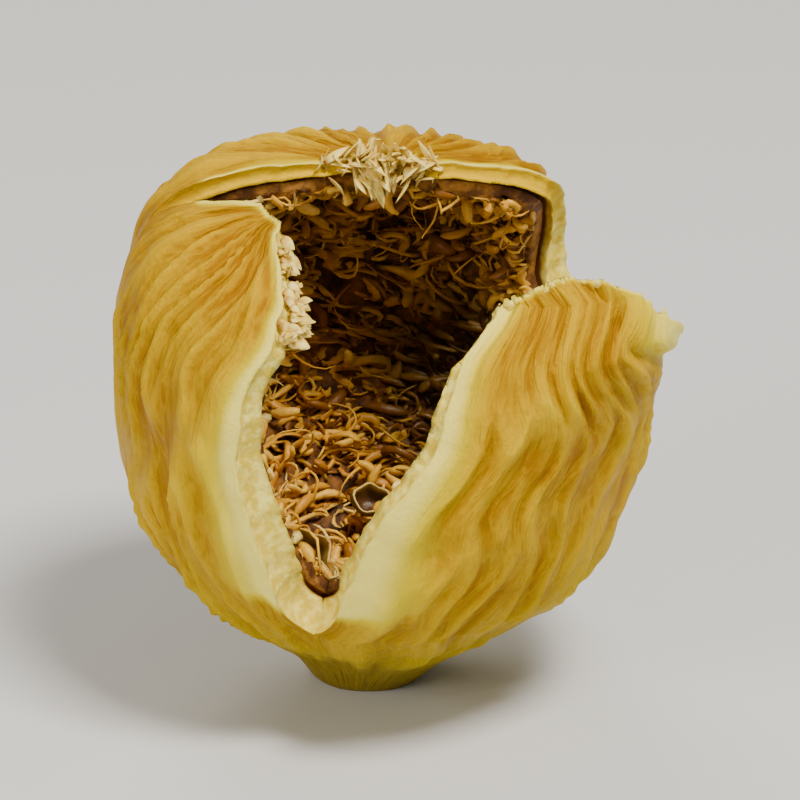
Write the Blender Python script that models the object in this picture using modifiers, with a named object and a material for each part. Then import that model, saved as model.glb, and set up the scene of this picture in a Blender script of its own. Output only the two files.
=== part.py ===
"""A dried fig that split open at its eye while it ripened on the tree.

The rind tore down from the eye into three lobes that stay joined round the stem end. The wall's inside
carries a lining of dried florets, and the pale scales of the eye cling to the tips of two lobes. The fig
stands mouth up on the flat spot where its stem end was pressed while it dried.
Origin: the middle of that flat spot. +Z is up, and the wide tear faces -Y.
"""

import math
import random
from collections import namedtuple

import bmesh
import bpy
from mathutils import Matrix, Vector, noise

MM = 0.001

# The whole fruit, as a turned body about its own stem-to-eye axis, measured from the belly's plane
BELLY_RADIUS = 14.8 * MM
CROWN_HEIGHT = 13.1 * MM
FOOT_DEPTH = 14.6 * MM
CROWN_POWER = 3.0
FOOT_POWER = 2.2

# Its neck draws the skin round the stem down and a little to the left
NECK = Vector((-1.4, 0.0, -6.6)) * MM
NECK_SPREAD = 19.0
FIRST_RING = -78.0

# A fuller shoulder at the back left, in degrees round and up
SHOULDER = 1.1 * MM
SHOULDER_TURN, SHOULDER_TURN_SPREAD = 152.0, 32.0
SHOULDER_UP, SHOULDER_UP_SPREAD = 36.0, 22.0

# How the fruit stands: it leans towards the wide tear, and its stem end is pressed flat
LEAN = 8.0
PRESSED = 0.6 * MM
PRESSED_SPOT_FORWARD = 0.6 * MM

# The wall: thick and fleshy round the stem, thin at the lobes' tips
WALL = 2.3 * MM
WALL_AT_TIP = 0.8 * MM
WALL_THINS_FROM = -30.0
WALL_THINS_TO = 55.0

# Ridges of the shrunken skin, which run from stem to eye, are only raised outwards and fade where they crowd
RIDGE_HEIGHT = 0.5 * MM
RIDGE_WANDER = 0.35
RIDGE_WANDER_SIZE = 6 * MM
RIDGE_UNEVEN_SIZE = 4 * MM
RIDGE_CROWDING = 1.5 * MM
RIDGES_RISE_OVER = 25.0
COLUMNS_PER_RIDGE = 3
LOWER_ROWS, MIDDLE_ROWS, UPPER_ROWS = 8, 7, 4

# Latitudes of the rows: all lobes share them up to the first, and the two that are joined higher up to the second
SHARED_TO = -12.0
JOINED_TO = 38.0

# Each tear starts at a foot, (latitude, azimuth) in degrees, and its two edges part from there. Above the foot, an
# inset comes in over TEAR_OPENS_OVER degrees
FRONT_FOOT = (-39.5, 251.6)
RIGHT_FOOT = (SHARED_TO, 12.0)
LEFT_FOOT = (36.0, 167.0)
TEAR_OPENS_OVER = 14.0
TURN = 360.0

# One lobe: its ridges, its tip's outline as (share across, latitude), its two torn edges as (latitude, azimuth), how
# far each edge leans outwards and from which latitude, and whether its rows follow its neighbour up to JOINED_TO
Lobe = namedtuple("Lobe", "ridges tip first_edge last_edge leans leans_from joined")
LEANS_FULLY_AT = 45.0
LOBES = (
    Lobe(
        ridges=10,
        tip=((0.0, 44.0), (0.45, 51.0), (1.0, 33.0)),
        first_edge=(FRONT_FOOT, (-21, 260), (0, 269.5), (16, 281), (34, 290), (44, 307)),
        last_edge=((SHARED_TO, 12.0 + TURN), (0, 366), (12, 359), (24, 350), (33, 340)),
        leans=(0.0, 25.0),
        leans_from=(FRONT_FOOT[0], SHARED_TO),
        joined=False,
    ),
    Lobe(
        ridges=14,
        tip=((0.0, 69.0), (0.5, 71.0), (1.0, 69.0)),
        first_edge=(RIGHT_FOOT, (0, 31), (12, 44), (30, 39), (46, 30), (58, 33), (69, 50)),
        last_edge=(LEFT_FOOT, (50, 163), (62, 150), (69, 130)),
        leans=(0.0, 0.0),
        leans_from=(SHARED_TO, LEFT_FOOT[0]),
        joined=True,
    ),
    Lobe(
        ridges=8,
        tip=((0.0, 62.0), (1.0, 64.0)),
        first_edge=(LEFT_FOOT, (46, 173), (64, 186)),
        last_edge=(
            FRONT_FOOT, (-19, 246.5), (-5, 241.5), (12, 237.5), (26, 238.5), (38, 242), (45, 241), (53, 232),
            (64, 207),
        ),
        leans=(0.0, 0.0),
        leans_from=(LEFT_FOOT[0], FRONT_FOOT[0]),
        joined=True,
    ),
)
RIGHT_LOBE, BACK_LOBE, LEFT_LOBE = LOBES

# The lining of florets, inside the wall: a rough felt with beaded threads that stand up from it
GAP = 0.3 * MM
LINING = 1.1 * MM
LINING_INSET = 0.8 * MM
LINING_ROUGHNESS = 0.5 * MM
LINING_GRAIN = 1.7 * MM
LINING_COLUMNS = {RIGHT_LOBE: 14, BACK_LOBE: 20, LEFT_LOBE: 10}
LINING_ROWS = 12
LINING_STOPS = {RIGHT_LOBE: 0.97, BACK_LOBE: 0.95, LEFT_LOBE: 0.92}
FLORETS = 130
FLORET_SEED = 8
FLORET_SHARES = (3, 4, 2)
FLORETS_ACROSS = (0.04, 0.96)
FLORETS_ALONG = (0.12, 0.96)
FLORET_SPACING = 2.2 * MM
FLORET_LENGTHS = (2.0 * MM, 3.2 * MM)
FLORET_BENDS = (0.3, 0.9)
FLORET_RADII = [share * MM for share in (0.46, 0.36, 0.34, 0.56, 0.3)]
FLORET_ROOT = 0.7 * MM

# The pale scales of the eye, which cling in two tufts along stretches of the lobes' edges
SCALE_LENGTHS = (2.0 * MM, 2.9 * MM)
SCALE_WIDTHS = (0.9 * MM, 1.3 * MM)
SCALE_THICKNESS = 0.7 * MM
SCALE_BASE_RADIUS = 0.5 * MM
SCALES_FROM_EDGE = 1.1 * MM
SCALE_FANS = (-60.0, 0.0, 55.0)
SCALE_FAN_WANDER = 12.0
BACK_SCALES_ACROSS = (0.05, 0.27, 0.5, 0.73, 0.95)
LEFT_SCALES_ALONG = (0.86, 0.9, 0.94, 0.98)
BACK_SEED, LEFT_SEED = 3, 5

WELD = 0.05 * MM

SKIN_YELLOW = (0.66, 0.42, 0.03)
FLORET_BROWN = (0.30, 0.15, 0.04)
SCALE_CREAM = (0.76, 0.62, 0.33)


def smooth(start, end, value):
    """0 before start, 1 after end, with a soft rise between."""
    share = min(max((value - start) / (end - start), 0.0), 1.0)
    return share * share * (3 - 2 * share)


def mix(first, last, share):
    return first + (last - first) * share


def along_knots(knots, x):
    """Height at x of a smooth curve through (x, height) knots, which never swings past a knot."""
    if x <= knots[0][0]:
        return knots[0][1]
    if x >= knots[-1][0]:
        return knots[-1][1]
    steps = [(b[1] - a[1]) / (b[0] - a[0]) for a, b in zip(knots, knots[1:])]
    slopes = [steps[0]]
    for before, after in zip(steps, steps[1:]):
        slopes.append(0.0 if before * after <= 0 else 2 * before * after / (before + after))
    slopes.append(steps[-1])
    i = max(k for k in range(len(steps)) if knots[k][0] <= x)
    (x0, y0), (x1, y1) = knots[i], knots[i + 1]
    width = x1 - x0
    t = (x - x0) / width
    rise = (1 - t) ** 2 * ((1 + 2 * t) * y0 + t * width * slopes[i])
    return rise + t * t * ((3 - 2 * t) * y1 + (t - 1) * width * slopes[i + 1])


def body_radius(latitude, azimuth):
    """Distance from the middle of the belly to the skin of the whole fruit, without its neck."""
    tilt = math.radians(latitude)
    power, height = (CROWN_POWER, CROWN_HEIGHT) if latitude > 0 else (FOOT_POWER, FOOT_DEPTH)
    flat = (math.cos(tilt) / BELLY_RADIUS) ** power + (abs(math.sin(tilt)) / height) ** power
    turn_away = (azimuth - SHOULDER_TURN) / SHOULDER_TURN_SPREAD
    up_away = (latitude - SHOULDER_UP) / SHOULDER_UP_SPREAD
    return flat ** (-1 / power) + SHOULDER * math.exp(-turn_away * turn_away - up_away * up_away)


def latitude_of(lobe, across, along):
    """Latitude of a place on a lobe, from along = 0 at the first ring to 1 at the tip."""
    row = along * (LOWER_ROWS + MIDDLE_ROWS + UPPER_ROWS)
    tip = along_knots(lobe.tip, across)
    if row <= LOWER_ROWS:
        return mix(FIRST_RING, SHARED_TO, row / LOWER_ROWS)
    if not lobe.joined:
        return mix(SHARED_TO, tip, (row - LOWER_ROWS) / (MIDDLE_ROWS + UPPER_ROWS))
    if row <= LOWER_ROWS + MIDDLE_ROWS:
        return mix(SHARED_TO, JOINED_TO, (row - LOWER_ROWS) / MIDDLE_ROWS)
    return mix(JOINED_TO, tip, (row - LOWER_ROWS - MIDDLE_ROWS) / UPPER_ROWS)


def skin_point(lobe, across, along, inset=0.0):
    """A point of a lobe's outside, without ridges or neck, in the fruit's own frame. An inset draws in torn edges."""
    latitude = latitude_of(lobe, across, along)
    tilt = math.radians(latitude)
    edges = []
    for edge, side in ((lobe.first_edge, 1), (lobe.last_edge, -1)):
        torn = smooth(edge[0][0], edge[0][0] + TEAR_OPENS_OVER, latitude)
        ring = max(body_radius(latitude, 0.0) * math.cos(tilt), inset)
        edges.append(along_knots(edge, latitude) + side * torn * math.degrees(inset / ring))
    azimuth = mix(*edges, across)
    radius = body_radius(latitude, azimuth)
    out, up = radius * math.cos(tilt), radius * math.sin(tilt)
    lean_from = mix(*lobe.leans_from, across)
    lean = math.radians(mix(*lobe.leans, across)) * smooth(lean_from, LEANS_FULLY_AT, latitude)
    if lean:
        hinge = math.radians(lean_from)
        hinge_radius = body_radius(lean_from, azimuth)
        hinge_out, hinge_up = hinge_radius * math.cos(hinge), hinge_radius * math.sin(hinge)
        arm_out, arm_up = out - hinge_out, up - hinge_up
        out = hinge_out + arm_out * math.cos(lean) + arm_up * math.sin(lean)
        up = hinge_up + arm_up * math.cos(lean) - arm_out * math.sin(lean)
    turn = math.radians(azimuth)
    return Vector((out * math.cos(turn), out * math.sin(turn), up))


def skin_normal(lobe, across, along, inset=0.0):
    """Outward direction of the smooth outside of a lobe."""
    step = 0.004
    sides = [skin_point(lobe, min(max(across + d, 0.0), 1.0), along, inset) for d in (-step, step)]
    ends = [skin_point(lobe, across, min(max(along + d, 0.0), 1.0), inset) for d in (-step, step)]
    return (sides[1] - sides[0]).cross(ends[1] - ends[0]).normalized()


def wall_at(lobe, across, along):
    """Thickness of the wall, which thins from the stem end to the tips."""
    return mix(WALL, WALL_AT_TIP, smooth(WALL_THINS_FROM, WALL_THINS_TO, latitude_of(lobe, across, along)))


def neck_pull(latitude):
    """How far the neck draws a point of the skin down."""
    away = (90.0 + latitude) / NECK_SPREAD
    return NECK * math.exp(-away * away)


def standing():
    """The move from the fruit's own frame to the one in which it stands on its pressed stem end."""
    lean = Matrix.Rotation(math.radians(LEAN), 4, "X")
    tip = lean @ (Vector((0.0, 0.0, -body_radius(FIRST_RING, 0.0))) + neck_pull(FIRST_RING))
    return Matrix.Translation(Vector((-tip.x, PRESSED_SPOT_FORWARD - tip.y, -tip.z - PRESSED))) @ lean


def material(name, colour, roughness):
    made = bpy.data.materials.new(name)
    made.use_nodes = True
    surface = made.node_tree.nodes["Principled BSDF"]
    surface.inputs["Base Color"].default_value = (*colour, 1.0)
    surface.inputs["Roughness"].default_value = roughness
    surface.inputs["Metallic"].default_value = 0.0
    made.diffuse_color = (*colour, 1.0)
    return made


def new_object(name, mesh, collection, finish=None):
    made = bpy.data.objects.new(name, mesh)
    collection.objects.link(made)
    if finish:
        made.data.materials.append(finish)
    return made


def keep_modifiers(obj):
    """Applies every modifier to the object's mesh."""
    bpy.context.view_layer.update()
    graph = bpy.context.evaluated_depsgraph_get()
    shaped = obj.evaluated_get(graph)
    made = bpy.data.meshes.new_from_object(shaped, preserve_all_data_layers=True, depsgraph=graph)
    obj.modifiers.clear()
    obj.data = made


def lobed_sheet(name, columns, rows, place):
    """An open sheet of three grids, one to a lobe, welded below the feet of the tears and closed at the stem end.

    Each vertex keeps its lobe and its place across and along it, for the steps that follow.
    """
    mesh = bpy.data.meshes.new(name)
    sheet = bmesh.new()
    lobe_layer = sheet.verts.layers.int.new("lobe")
    across_layer = sheet.verts.layers.float.new("across")
    along_layer = sheet.verts.layers.float.new("along")
    for index, lobe in enumerate(LOBES):
        grid = bmesh.ops.create_grid(sheet, x_segments=columns[lobe], y_segments=rows, size=0.5)["verts"]
        for vert in grid:
            across, along = vert.co.x + 0.5, vert.co.y + 0.5
            vert[lobe_layer], vert[across_layer], vert[along_layer] = index, across, along
            vert.co = place(lobe, across, along)
    bmesh.ops.remove_doubles(sheet, verts=sheet.verts[:], dist=WELD)
    first_ring = [
        edge for edge in sheet.edges if edge.is_boundary and all(v[along_layer] < 0.5 / rows for v in edge.verts)
    ]
    bmesh.ops.contextual_create(sheet, geom=first_ring)
    bmesh.ops.recalc_face_normals(sheet, faces=sheet.faces[:])
    sheet.to_mesh(mesh)
    sheet.free()
    return mesh


def solidify_inwards(obj, thickness, shares):
    """Gives the sheet its thickness inwards, by each vertex's share of it. The sheet's own vertices stay first."""
    group = obj.vertex_groups.new(name="thickness")
    for index, share in enumerate(shares):
        group.add([index], share, "REPLACE")
    solid = obj.modifiers.new("Wall", "SOLIDIFY")
    solid.thickness = thickness
    solid.offset = -1.0
    solid.use_even_offset = True
    solid.vertex_group = group.name
    keep_modifiers(obj)


def places_of(mesh):
    """Each vertex's lobe and its place across and along it."""
    lobe, across, along = (mesh.attributes[name].data for name in ("lobe", "across", "along"))
    return [(LOBES[a.value], b.value, c.value) for a, b, c in zip(lobe, across, along)]


def stand_up(mesh):
    """Moves a mesh from the fruit's own frame to the standing one and presses whatever is lowest flat."""
    mesh.transform(standing())
    for vert in mesh.vertices:
        vert.co.z = max(vert.co.z, 0.0)


def ridge(lobe, across, along, point):
    """Height of the skin's ridges: one at each torn edge, so that neighbouring lobes meet, and the rest wander."""
    sway = RIDGE_WANDER * noise.noise(point / RIDGE_WANDER_SIZE) * math.sin(math.pi * across)
    wave = 0.5 + 0.5 * math.cos(2 * math.pi * (lobe.ridges * across + sway))
    uneven = 0.8 + 0.5 * noise.noise(point / RIDGE_UNEVEN_SIZE + Vector((7, 3, 1)))
    width = (skin_point(lobe, 1.0, along) - skin_point(lobe, 0.0, along)).length / lobe.ridges
    crowded = min(width / RIDGE_CROWDING, 1.0)
    started = smooth(FIRST_RING, FIRST_RING + RIDGES_RISE_OVER, latitude_of(lobe, across, along))
    return RIDGE_HEIGHT * wave * uneven * crowded * started


def rind(collection, finish):
    """The fig's wall with its skin and stem end: one leathery piece, torn into three lobes."""
    columns = {lobe: lobe.ridges * COLUMNS_PER_RIDGE for lobe in LOBES}
    rows = LOWER_ROWS + MIDDLE_ROWS + UPPER_ROWS
    obj = new_object("rind", lobed_sheet("rind", columns, rows, skin_point), collection, finish)
    places = places_of(obj.data)
    solidify_inwards(obj, WALL, [wall_at(*place) / WALL for place in places])
    for vert, place in zip(obj.data.vertices, places):
        raised = skin_normal(*place) * ridge(*place, vert.co)
        vert.co = vert.co + raised + neck_pull(latitude_of(*place[:3]))
    stand_up(obj.data)


def lining_point(lobe, across, along):
    """A point on the side of the lining that faces the wall."""
    reach = along * LINING_STOPS[lobe]
    point = skin_point(lobe, across, reach, LINING_INSET)
    return point - skin_normal(lobe, across, reach, LINING_INSET) * (wall_at(lobe, across, reach) + GAP)


def bent_tube(name, points, radii, collection):
    """A closed four-sided tube through the points, as thick at each as its radius says."""
    tube = bmesh.new()
    bmesh.ops.create_cone(tube, cap_ends=True, segments=4, radius1=1.0, radius2=1.0, depth=1.0)
    lengthwise = [edge for edge in tube.edges if edge.verts[0].co.z * edge.verts[1].co.z < 0]
    bmesh.ops.subdivide_edges(tube, edges=lengthwise, cuts=len(points) - 2)
    last = len(points) - 1
    upright = (points[-1] - points[0]).orthogonal().normalized()
    for vert in tube.verts:
        step = round((vert.co.z + 0.5) * last)
        forward = (points[min(step + 1, last)] - points[max(step - 1, 0)]).normalized()
        side = forward.cross(upright).normalized()
        vert.co = points[step] + (side * vert.co.x + forward.cross(side) * vert.co.y) * radii[step]
    mesh = bpy.data.meshes.new(name)
    tube.to_mesh(mesh)
    tube.free()
    return new_object(name, mesh, collection)


def fuse(obj, pieces):
    """Joins a collection's pieces to an object in one union, clears them away and drops every scrap but the body."""
    union = obj.modifiers.new("Join", "BOOLEAN")
    union.operation = "UNION"
    union.operand_type = "COLLECTION"
    union.collection = pieces
    union.solver = "MANIFOLD"
    keep_modifiers(obj)
    for piece in list(pieces.objects):
        bpy.data.objects.remove(piece, do_unlink=True)
    bpy.data.collections.remove(pieces)

    fused = bmesh.new()
    fused.from_mesh(obj.data)
    unseen = set(fused.verts)
    bodies = []
    while unseen:
        body, edge_of_body = set(), [unseen.pop()]
        while edge_of_body:
            vert = edge_of_body.pop()
            body.add(vert)
            nearby = {edge.other_vert(vert) for edge in vert.link_edges} & unseen
            unseen -= nearby
            edge_of_body.extend(nearby)
        bodies.append(body)
    bodies.sort(key=len)
    bmesh.ops.delete(fused, geom=[vert for body in bodies[:-1] for vert in body], context="VERTS")
    fused.to_mesh(obj.data)
    fused.free()


def floret_lining(collection, finish):
    """The dried florets: a rough felt that lines the wall, and the beaded threads that stand up from it."""
    sheet = lobed_sheet("floret_lining", LINING_COLUMNS, LINING_ROWS, lining_point)
    obj = new_object("floret_lining", sheet, collection, finish)
    places = places_of(obj.data)
    solidify_inwards(obj, LINING, [1.0] * len(places))
    for vert in obj.data.vertices[len(places):]:
        inward = -vert.co.normalized()
        vert.co = vert.co + inward * LINING_ROUGHNESS * (0.5 + 0.9 * noise.noise(vert.co / LINING_GRAIN))
    threads = bpy.data.collections.new("florets")
    bpy.context.scene.collection.children.link(threads)
    chance = random.Random(FLORET_SEED)
    roots = []
    while len(roots) < FLORETS:
        lobe = chance.choices(LOBES, weights=FLORET_SHARES)[0]
        across, along = chance.uniform(*FLORETS_ACROSS), chance.uniform(*FLORETS_ALONG)
        latitude = latitude_of(lobe, across, along * LINING_STOPS[lobe])
        if chance.random() > math.cos(math.radians(latitude)):
            continue
        root = lining_point(lobe, across, along)
        if any((root - other).length < FLORET_SPACING for other in roots):
            continue
        roots.append(root)
        inward = -skin_normal(lobe, across, along * LINING_STOPS[lobe])
        aside = inward.cross(Vector([chance.uniform(-1, 1) for _ in range(3)])).normalized()
        length = chance.uniform(*FLORET_LENGTHS)
        bend = chance.uniform(*FLORET_BENDS)
        start = root + inward * (LINING - FLORET_ROOT)
        points = []
        for step in range(len(FLORET_RADII)):
            share = step / (len(FLORET_RADII) - 1)
            points.append(start + inward * (length + FLORET_ROOT) * share + aside * length * bend * share * share)
        bent_tube("floret", points, FLORET_RADII, threads)
    fuse(obj, threads)
    stand_up(obj.data)


def eye_scales(name, edge, further_in, below, seed, collection, finish):
    """A tuft of the eye's pale scales, grown together at their base along a stretch of a lobe's edge.

    The edge's points come with the skin's points a little further in, and with the skin's directions just below.
    """
    outs = [(end - inner).normalized() for end, inner in zip(edge, further_in)]
    edge_points = [end + out * SCALES_FROM_EDGE - up * WALL_AT_TIP / 2 for end, out, up in zip(edge, outs, below)]
    obj = bent_tube(name, edge_points, [SCALE_BASE_RADIUS] * len(edge_points), collection)
    obj.data.materials.append(finish)
    scales = bpy.data.collections.new("scales")
    bpy.context.scene.collection.children.link(scales)
    chance = random.Random(seed)
    for point, out, up in zip(edge_points, outs, below):
        for fan in SCALE_FANS:
            angle = math.radians(fan + chance.uniform(-SCALE_FAN_WANDER, SCALE_FAN_WANDER))
            blade = out * math.cos(angle) + up * math.sin(angle)
            side = blade.cross(Vector([chance.uniform(-0.5, 0.5) for _ in range(3)]) + up).normalized()
            length, width = chance.uniform(*SCALE_LENGTHS), chance.uniform(*SCALE_WIDTHS)
            shape = bmesh.new()
            bmesh.ops.create_uvsphere(shape, u_segments=5, v_segments=4, radius=0.5)
            turned = Matrix((side, blade.cross(side), blade)).transposed().to_4x4()
            place = Matrix.Translation(point + blade * (length * 0.5 - SCALE_BASE_RADIUS)) @ turned
            shape.transform(place @ Matrix.Diagonal((width, SCALE_THICKNESS, length, 1.0)))
            mesh = bpy.data.meshes.new("scale")
            shape.to_mesh(mesh)
            shape.free()
            new_object("scale", mesh, scales)
    fuse(obj, scales)
    stand_up(obj.data)


def main():
    for obj in list(bpy.data.objects):
        bpy.data.objects.remove(obj, do_unlink=True)
    fig = bpy.data.collections.new("dried_fig")
    bpy.context.scene.collection.children.link(fig)
    rind(fig, material("fig_skin", SKIN_YELLOW, 0.5))
    floret_lining(fig, material("fig_florets", FLORET_BROWN, 0.65))
    cream = material("fig_scales", SCALE_CREAM, 0.7)

    crown = [skin_point(BACK_LOBE, across, 1.0) for across in BACK_SCALES_ACROSS]
    further_in = [skin_point(BACK_LOBE, across, 0.97) for across in BACK_SCALES_ACROSS]
    below = [skin_normal(BACK_LOBE, across, 0.99) for across in BACK_SCALES_ACROSS]
    eye_scales("eye_scales_back", crown, further_in, below, BACK_SEED, fig, cream)

    rim = [skin_point(LEFT_LOBE, 1.0, along) for along in LEFT_SCALES_ALONG]
    further_in = [skin_point(LEFT_LOBE, 0.97, along) for along in LEFT_SCALES_ALONG]
    below = [skin_normal(LEFT_LOBE, 0.99, along) for along in LEFT_SCALES_ALONG]
    eye_scales("eye_scales_left", rim, further_in, below, LEFT_SEED, fig, cream)


main()
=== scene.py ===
"""A dried fig that split open at its eye, standing mouth up on a pale floor in soft light."""

import math
from collections import namedtuple

import bpy
import numpy as np
from mathutils import Matrix, Vector, noise


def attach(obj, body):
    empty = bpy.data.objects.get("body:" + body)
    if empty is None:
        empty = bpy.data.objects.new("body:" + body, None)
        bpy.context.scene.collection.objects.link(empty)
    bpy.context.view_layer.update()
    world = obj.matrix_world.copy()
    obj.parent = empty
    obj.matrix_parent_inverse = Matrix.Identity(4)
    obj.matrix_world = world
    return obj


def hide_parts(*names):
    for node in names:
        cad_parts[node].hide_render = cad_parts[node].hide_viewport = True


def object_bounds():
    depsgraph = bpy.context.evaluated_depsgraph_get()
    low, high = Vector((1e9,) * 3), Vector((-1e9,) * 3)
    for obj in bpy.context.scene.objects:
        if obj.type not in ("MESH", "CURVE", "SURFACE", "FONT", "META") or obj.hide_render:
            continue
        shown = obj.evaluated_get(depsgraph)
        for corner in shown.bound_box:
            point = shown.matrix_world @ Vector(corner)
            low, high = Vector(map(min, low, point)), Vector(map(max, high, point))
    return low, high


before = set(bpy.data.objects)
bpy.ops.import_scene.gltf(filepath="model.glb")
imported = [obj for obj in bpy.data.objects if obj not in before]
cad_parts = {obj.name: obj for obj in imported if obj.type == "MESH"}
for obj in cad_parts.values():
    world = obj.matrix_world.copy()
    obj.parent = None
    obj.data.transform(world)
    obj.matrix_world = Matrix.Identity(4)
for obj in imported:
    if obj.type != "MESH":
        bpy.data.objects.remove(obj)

solid_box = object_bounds()
MM = 0.001


# The rind: leathery yellow skin over a pale wall of flesh, which grew as one piece with the stem end.
# It tore down from the eye into three lobes as the fruit ripened, and shrank into ridges as it dried.
# Its angles are in degrees: latitude up from the belly, and azimuth round from the leaning lobe's side.

BELLY_RADIUS = 14.8 * MM
CROWN_HEIGHT = 13.1 * MM
FOOT_DEPTH = 14.6 * MM
CROWN_POWER, FOOT_POWER = 3.0, 2.2
NECK = np.array((-1.4, 0.0, -6.6)) * MM
NECK_SPREAD = 19.0
FIRST_RING = -78.0
SHOULDER, SHOULDER_TURN, SHOULDER_TURN_SPREAD = 1.1 * MM, 152.0, 32.0
SHOULDER_UP, SHOULDER_UP_SPREAD = 36.0, 22.0
LEAN = 8.0
PRESSED = 0.6 * MM
PRESSED_SPOT_FORWARD = 0.6 * MM
WALL, WALL_AT_TIP = 2.3 * MM, 0.8 * MM
WALL_THINS_FROM, WALL_THINS_TO = -30.0, 55.0

# The mesh has rows up to SHARED_TO all round, then up to JOINED_TO on two lobes, and then up to a lobe's tip
SHARED_TO, JOINED_TO = -12.0, 38.0
LOWER_ROWS, MIDDLE_ROWS, UPPER_ROWS = 60, 54, 30
RIND_ROWS = LOWER_ROWS + MIDDLE_ROWS + UPPER_ROWS

# The foot of each tear, as (latitude, azimuth)
FRONT_FOOT, RIGHT_FOOT, LEFT_FOOT = (-36.5, 251.6), (SHARED_TO, 12.0), (36.0, 167.0)
TEAR_OPENS_OVER = 14.0
FRONT_LEANS_FROM, LEANS_FULLY_AT = -39.5, 45.0

# A lobe's tip is its outline as (share across, latitude), and its edges run through (latitude, azimuth). It
# leans outwards by leans, from the latitudes leans_from up, and its rows follow its neighbour's if it is
# joined. As (latitude, mm), flesh is how far the wall stands out past the skin at either edge, and pale is
# how far in from that edge the skin has lost its yellow
Lobe = namedtuple(
    "Lobe",
    "columns ridges tip first_edge last_edge leans leans_from joined"
    " first_flesh last_flesh first_pale last_pale",
)
LOBES = (
    Lobe(
        columns=100, ridges=10, joined=False, leans=(0.0, 25.0), leans_from=(FRONT_LEANS_FROM, SHARED_TO),
        tip=((0.0, 44.0), (0.45, 51.0), (1.0, 33.0)),
        first_edge=(
            FRONT_FOOT, (-34.5, 254.6), (-30, 258), (-21, 261.5), (0, 269.5), (16, 281), (34, 290), (44, 307),
        ),
        last_edge=((SHARED_TO, 372.0), (0, 366), (12, 359), (24, 350), (33, 340)),
        first_flesh=((-37, 0.0), (-31, 0.25), (-20, 0.4), (5, 0.3), (18, 0.7), (40, 0.9)),
        last_flesh=((-12, 0.0), (33, 0.3)),
        first_pale=((-40, 4.5), (-20, 5.0), (-5, 4.4), (20, 2.6), (44, 2.0)),
        last_pale=((-12, 0.8), (10, 1.5), (22, 4.5), (33, 6.0)),
    ),
    Lobe(
        columns=122, ridges=14, joined=True, leans=(0.0, 0.0), leans_from=(SHARED_TO, LEFT_FOOT[0]),
        tip=((0.0, 69.0), (0.5, 71.0), (1.0, 69.0)),
        first_edge=(RIGHT_FOOT, (0, 31), (12, 44), (30, 39), (46, 30), (58, 33), (69, 50)),
        last_edge=(LEFT_FOOT, (50, 163), (62, 150), (69, 130)),
        first_flesh=((-12, 0.0), (0, 0.3), (60, 0.2)),
        last_flesh=((36, 0.0), (69, 0.1)),
        first_pale=((-12, 0.8), (69, 0.8)),
        last_pale=((36, 0.7), (69, 0.7)),
    ),
    Lobe(
        columns=78, ridges=8, joined=True, leans=(0.0, 0.0), leans_from=(LEFT_FOOT[0], FRONT_LEANS_FROM),
        tip=((0.0, 62.0), (1.0, 64.0)),
        first_edge=(LEFT_FOOT, (46, 173), (64, 186)),
        last_edge=(
            FRONT_FOOT, (-34.5, 249.2), (-30, 246.8), (-19, 244.5), (-5, 241), (12, 237.5), (26, 238.5),
            (38, 242), (45, 241), (53, 232), (64, 207),
        ),
        first_flesh=((36, 0.0), (64, 0.1)),
        last_flesh=((-37, 0.0), (-31, 0.25), (-20, 0.6), (-5, 0.9), (14, 0.5), (38, 0.3), (64, 0.3)),
        first_pale=((36, 0.7), (64, 0.8)),
        last_pale=((-40, 4.6), (-15, 4.2), (5, 3.2), (30, 1.6), (64, 0.8)),
    ),
)
RIGHT_LOBE, BACK_LOBE, LEFT_LOBE = LOBES
LOBE_LENGTH = 40.0 * MM


def smooth(start, end, value):
    share = np.clip((value - start) / (end - start), 0.0, 1.0)
    return share * share * (3 - 2 * share)


def along_knots(knots, x):
    """Heights at x of a smooth curve through (x, height) knots, which never swings past a knot."""
    xs, ys = np.array(knots, float).T
    steps = np.diff(ys) / np.diff(xs)
    inner = [0.0 if a * b <= 0 else 2 * a * b / (a + b) for a, b in zip(steps, steps[1:])]
    slopes = np.array([steps[0], *inner, steps[-1]])
    x = np.clip(x, xs[0], xs[-1])
    i = np.clip(np.searchsorted(xs, x, side="right") - 1, 0, len(steps) - 1)
    width = xs[i + 1] - xs[i]
    t = (x - xs[i]) / width
    rise = (1 - t) ** 2 * ((1 + 2 * t) * ys[i] + t * width * slopes[i])
    return rise + t * t * ((3 - 2 * t) * ys[i + 1] + (t - 1) * width * slopes[i + 1])


def body_radius(latitude, azimuth):
    tilt = np.radians(latitude)
    above = latitude > 0
    power = np.where(above, CROWN_POWER, FOOT_POWER)
    height = np.where(above, CROWN_HEIGHT, FOOT_DEPTH)
    flat = (np.cos(tilt) / BELLY_RADIUS) ** power + (np.abs(np.sin(tilt)) / height) ** power
    turn_away = (azimuth - SHOULDER_TURN) / SHOULDER_TURN_SPREAD
    up_away = (latitude - SHOULDER_UP) / SHOULDER_UP_SPREAD
    return flat ** (-1 / power) + SHOULDER * np.exp(-turn_away**2 - up_away**2)


def latitude_of(lobe, across, along):
    row = along * RIND_ROWS
    tip = along_knots(lobe.tip, across)
    lower = FIRST_RING + (SHARED_TO - FIRST_RING) * row / LOWER_ROWS
    past = row - LOWER_ROWS
    if not lobe.joined:
        return np.where(past <= 0, lower, SHARED_TO + (tip - SHARED_TO) * past / (MIDDLE_ROWS + UPPER_ROWS))
    middle = SHARED_TO + (JOINED_TO - SHARED_TO) * past / MIDDLE_ROWS
    upper = JOINED_TO + (tip - JOINED_TO) * (past - MIDDLE_ROWS) / UPPER_ROWS
    return np.where(past <= 0, lower, np.where(past <= MIDDLE_ROWS, middle, upper))


def torn(edge, latitude):
    """0 where an edge is still joined to its neighbour, rising to 1 above the foot of the tear."""
    return smooth(edge[0][0], edge[0][0] + TEAR_OPENS_OVER, latitude)


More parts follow.
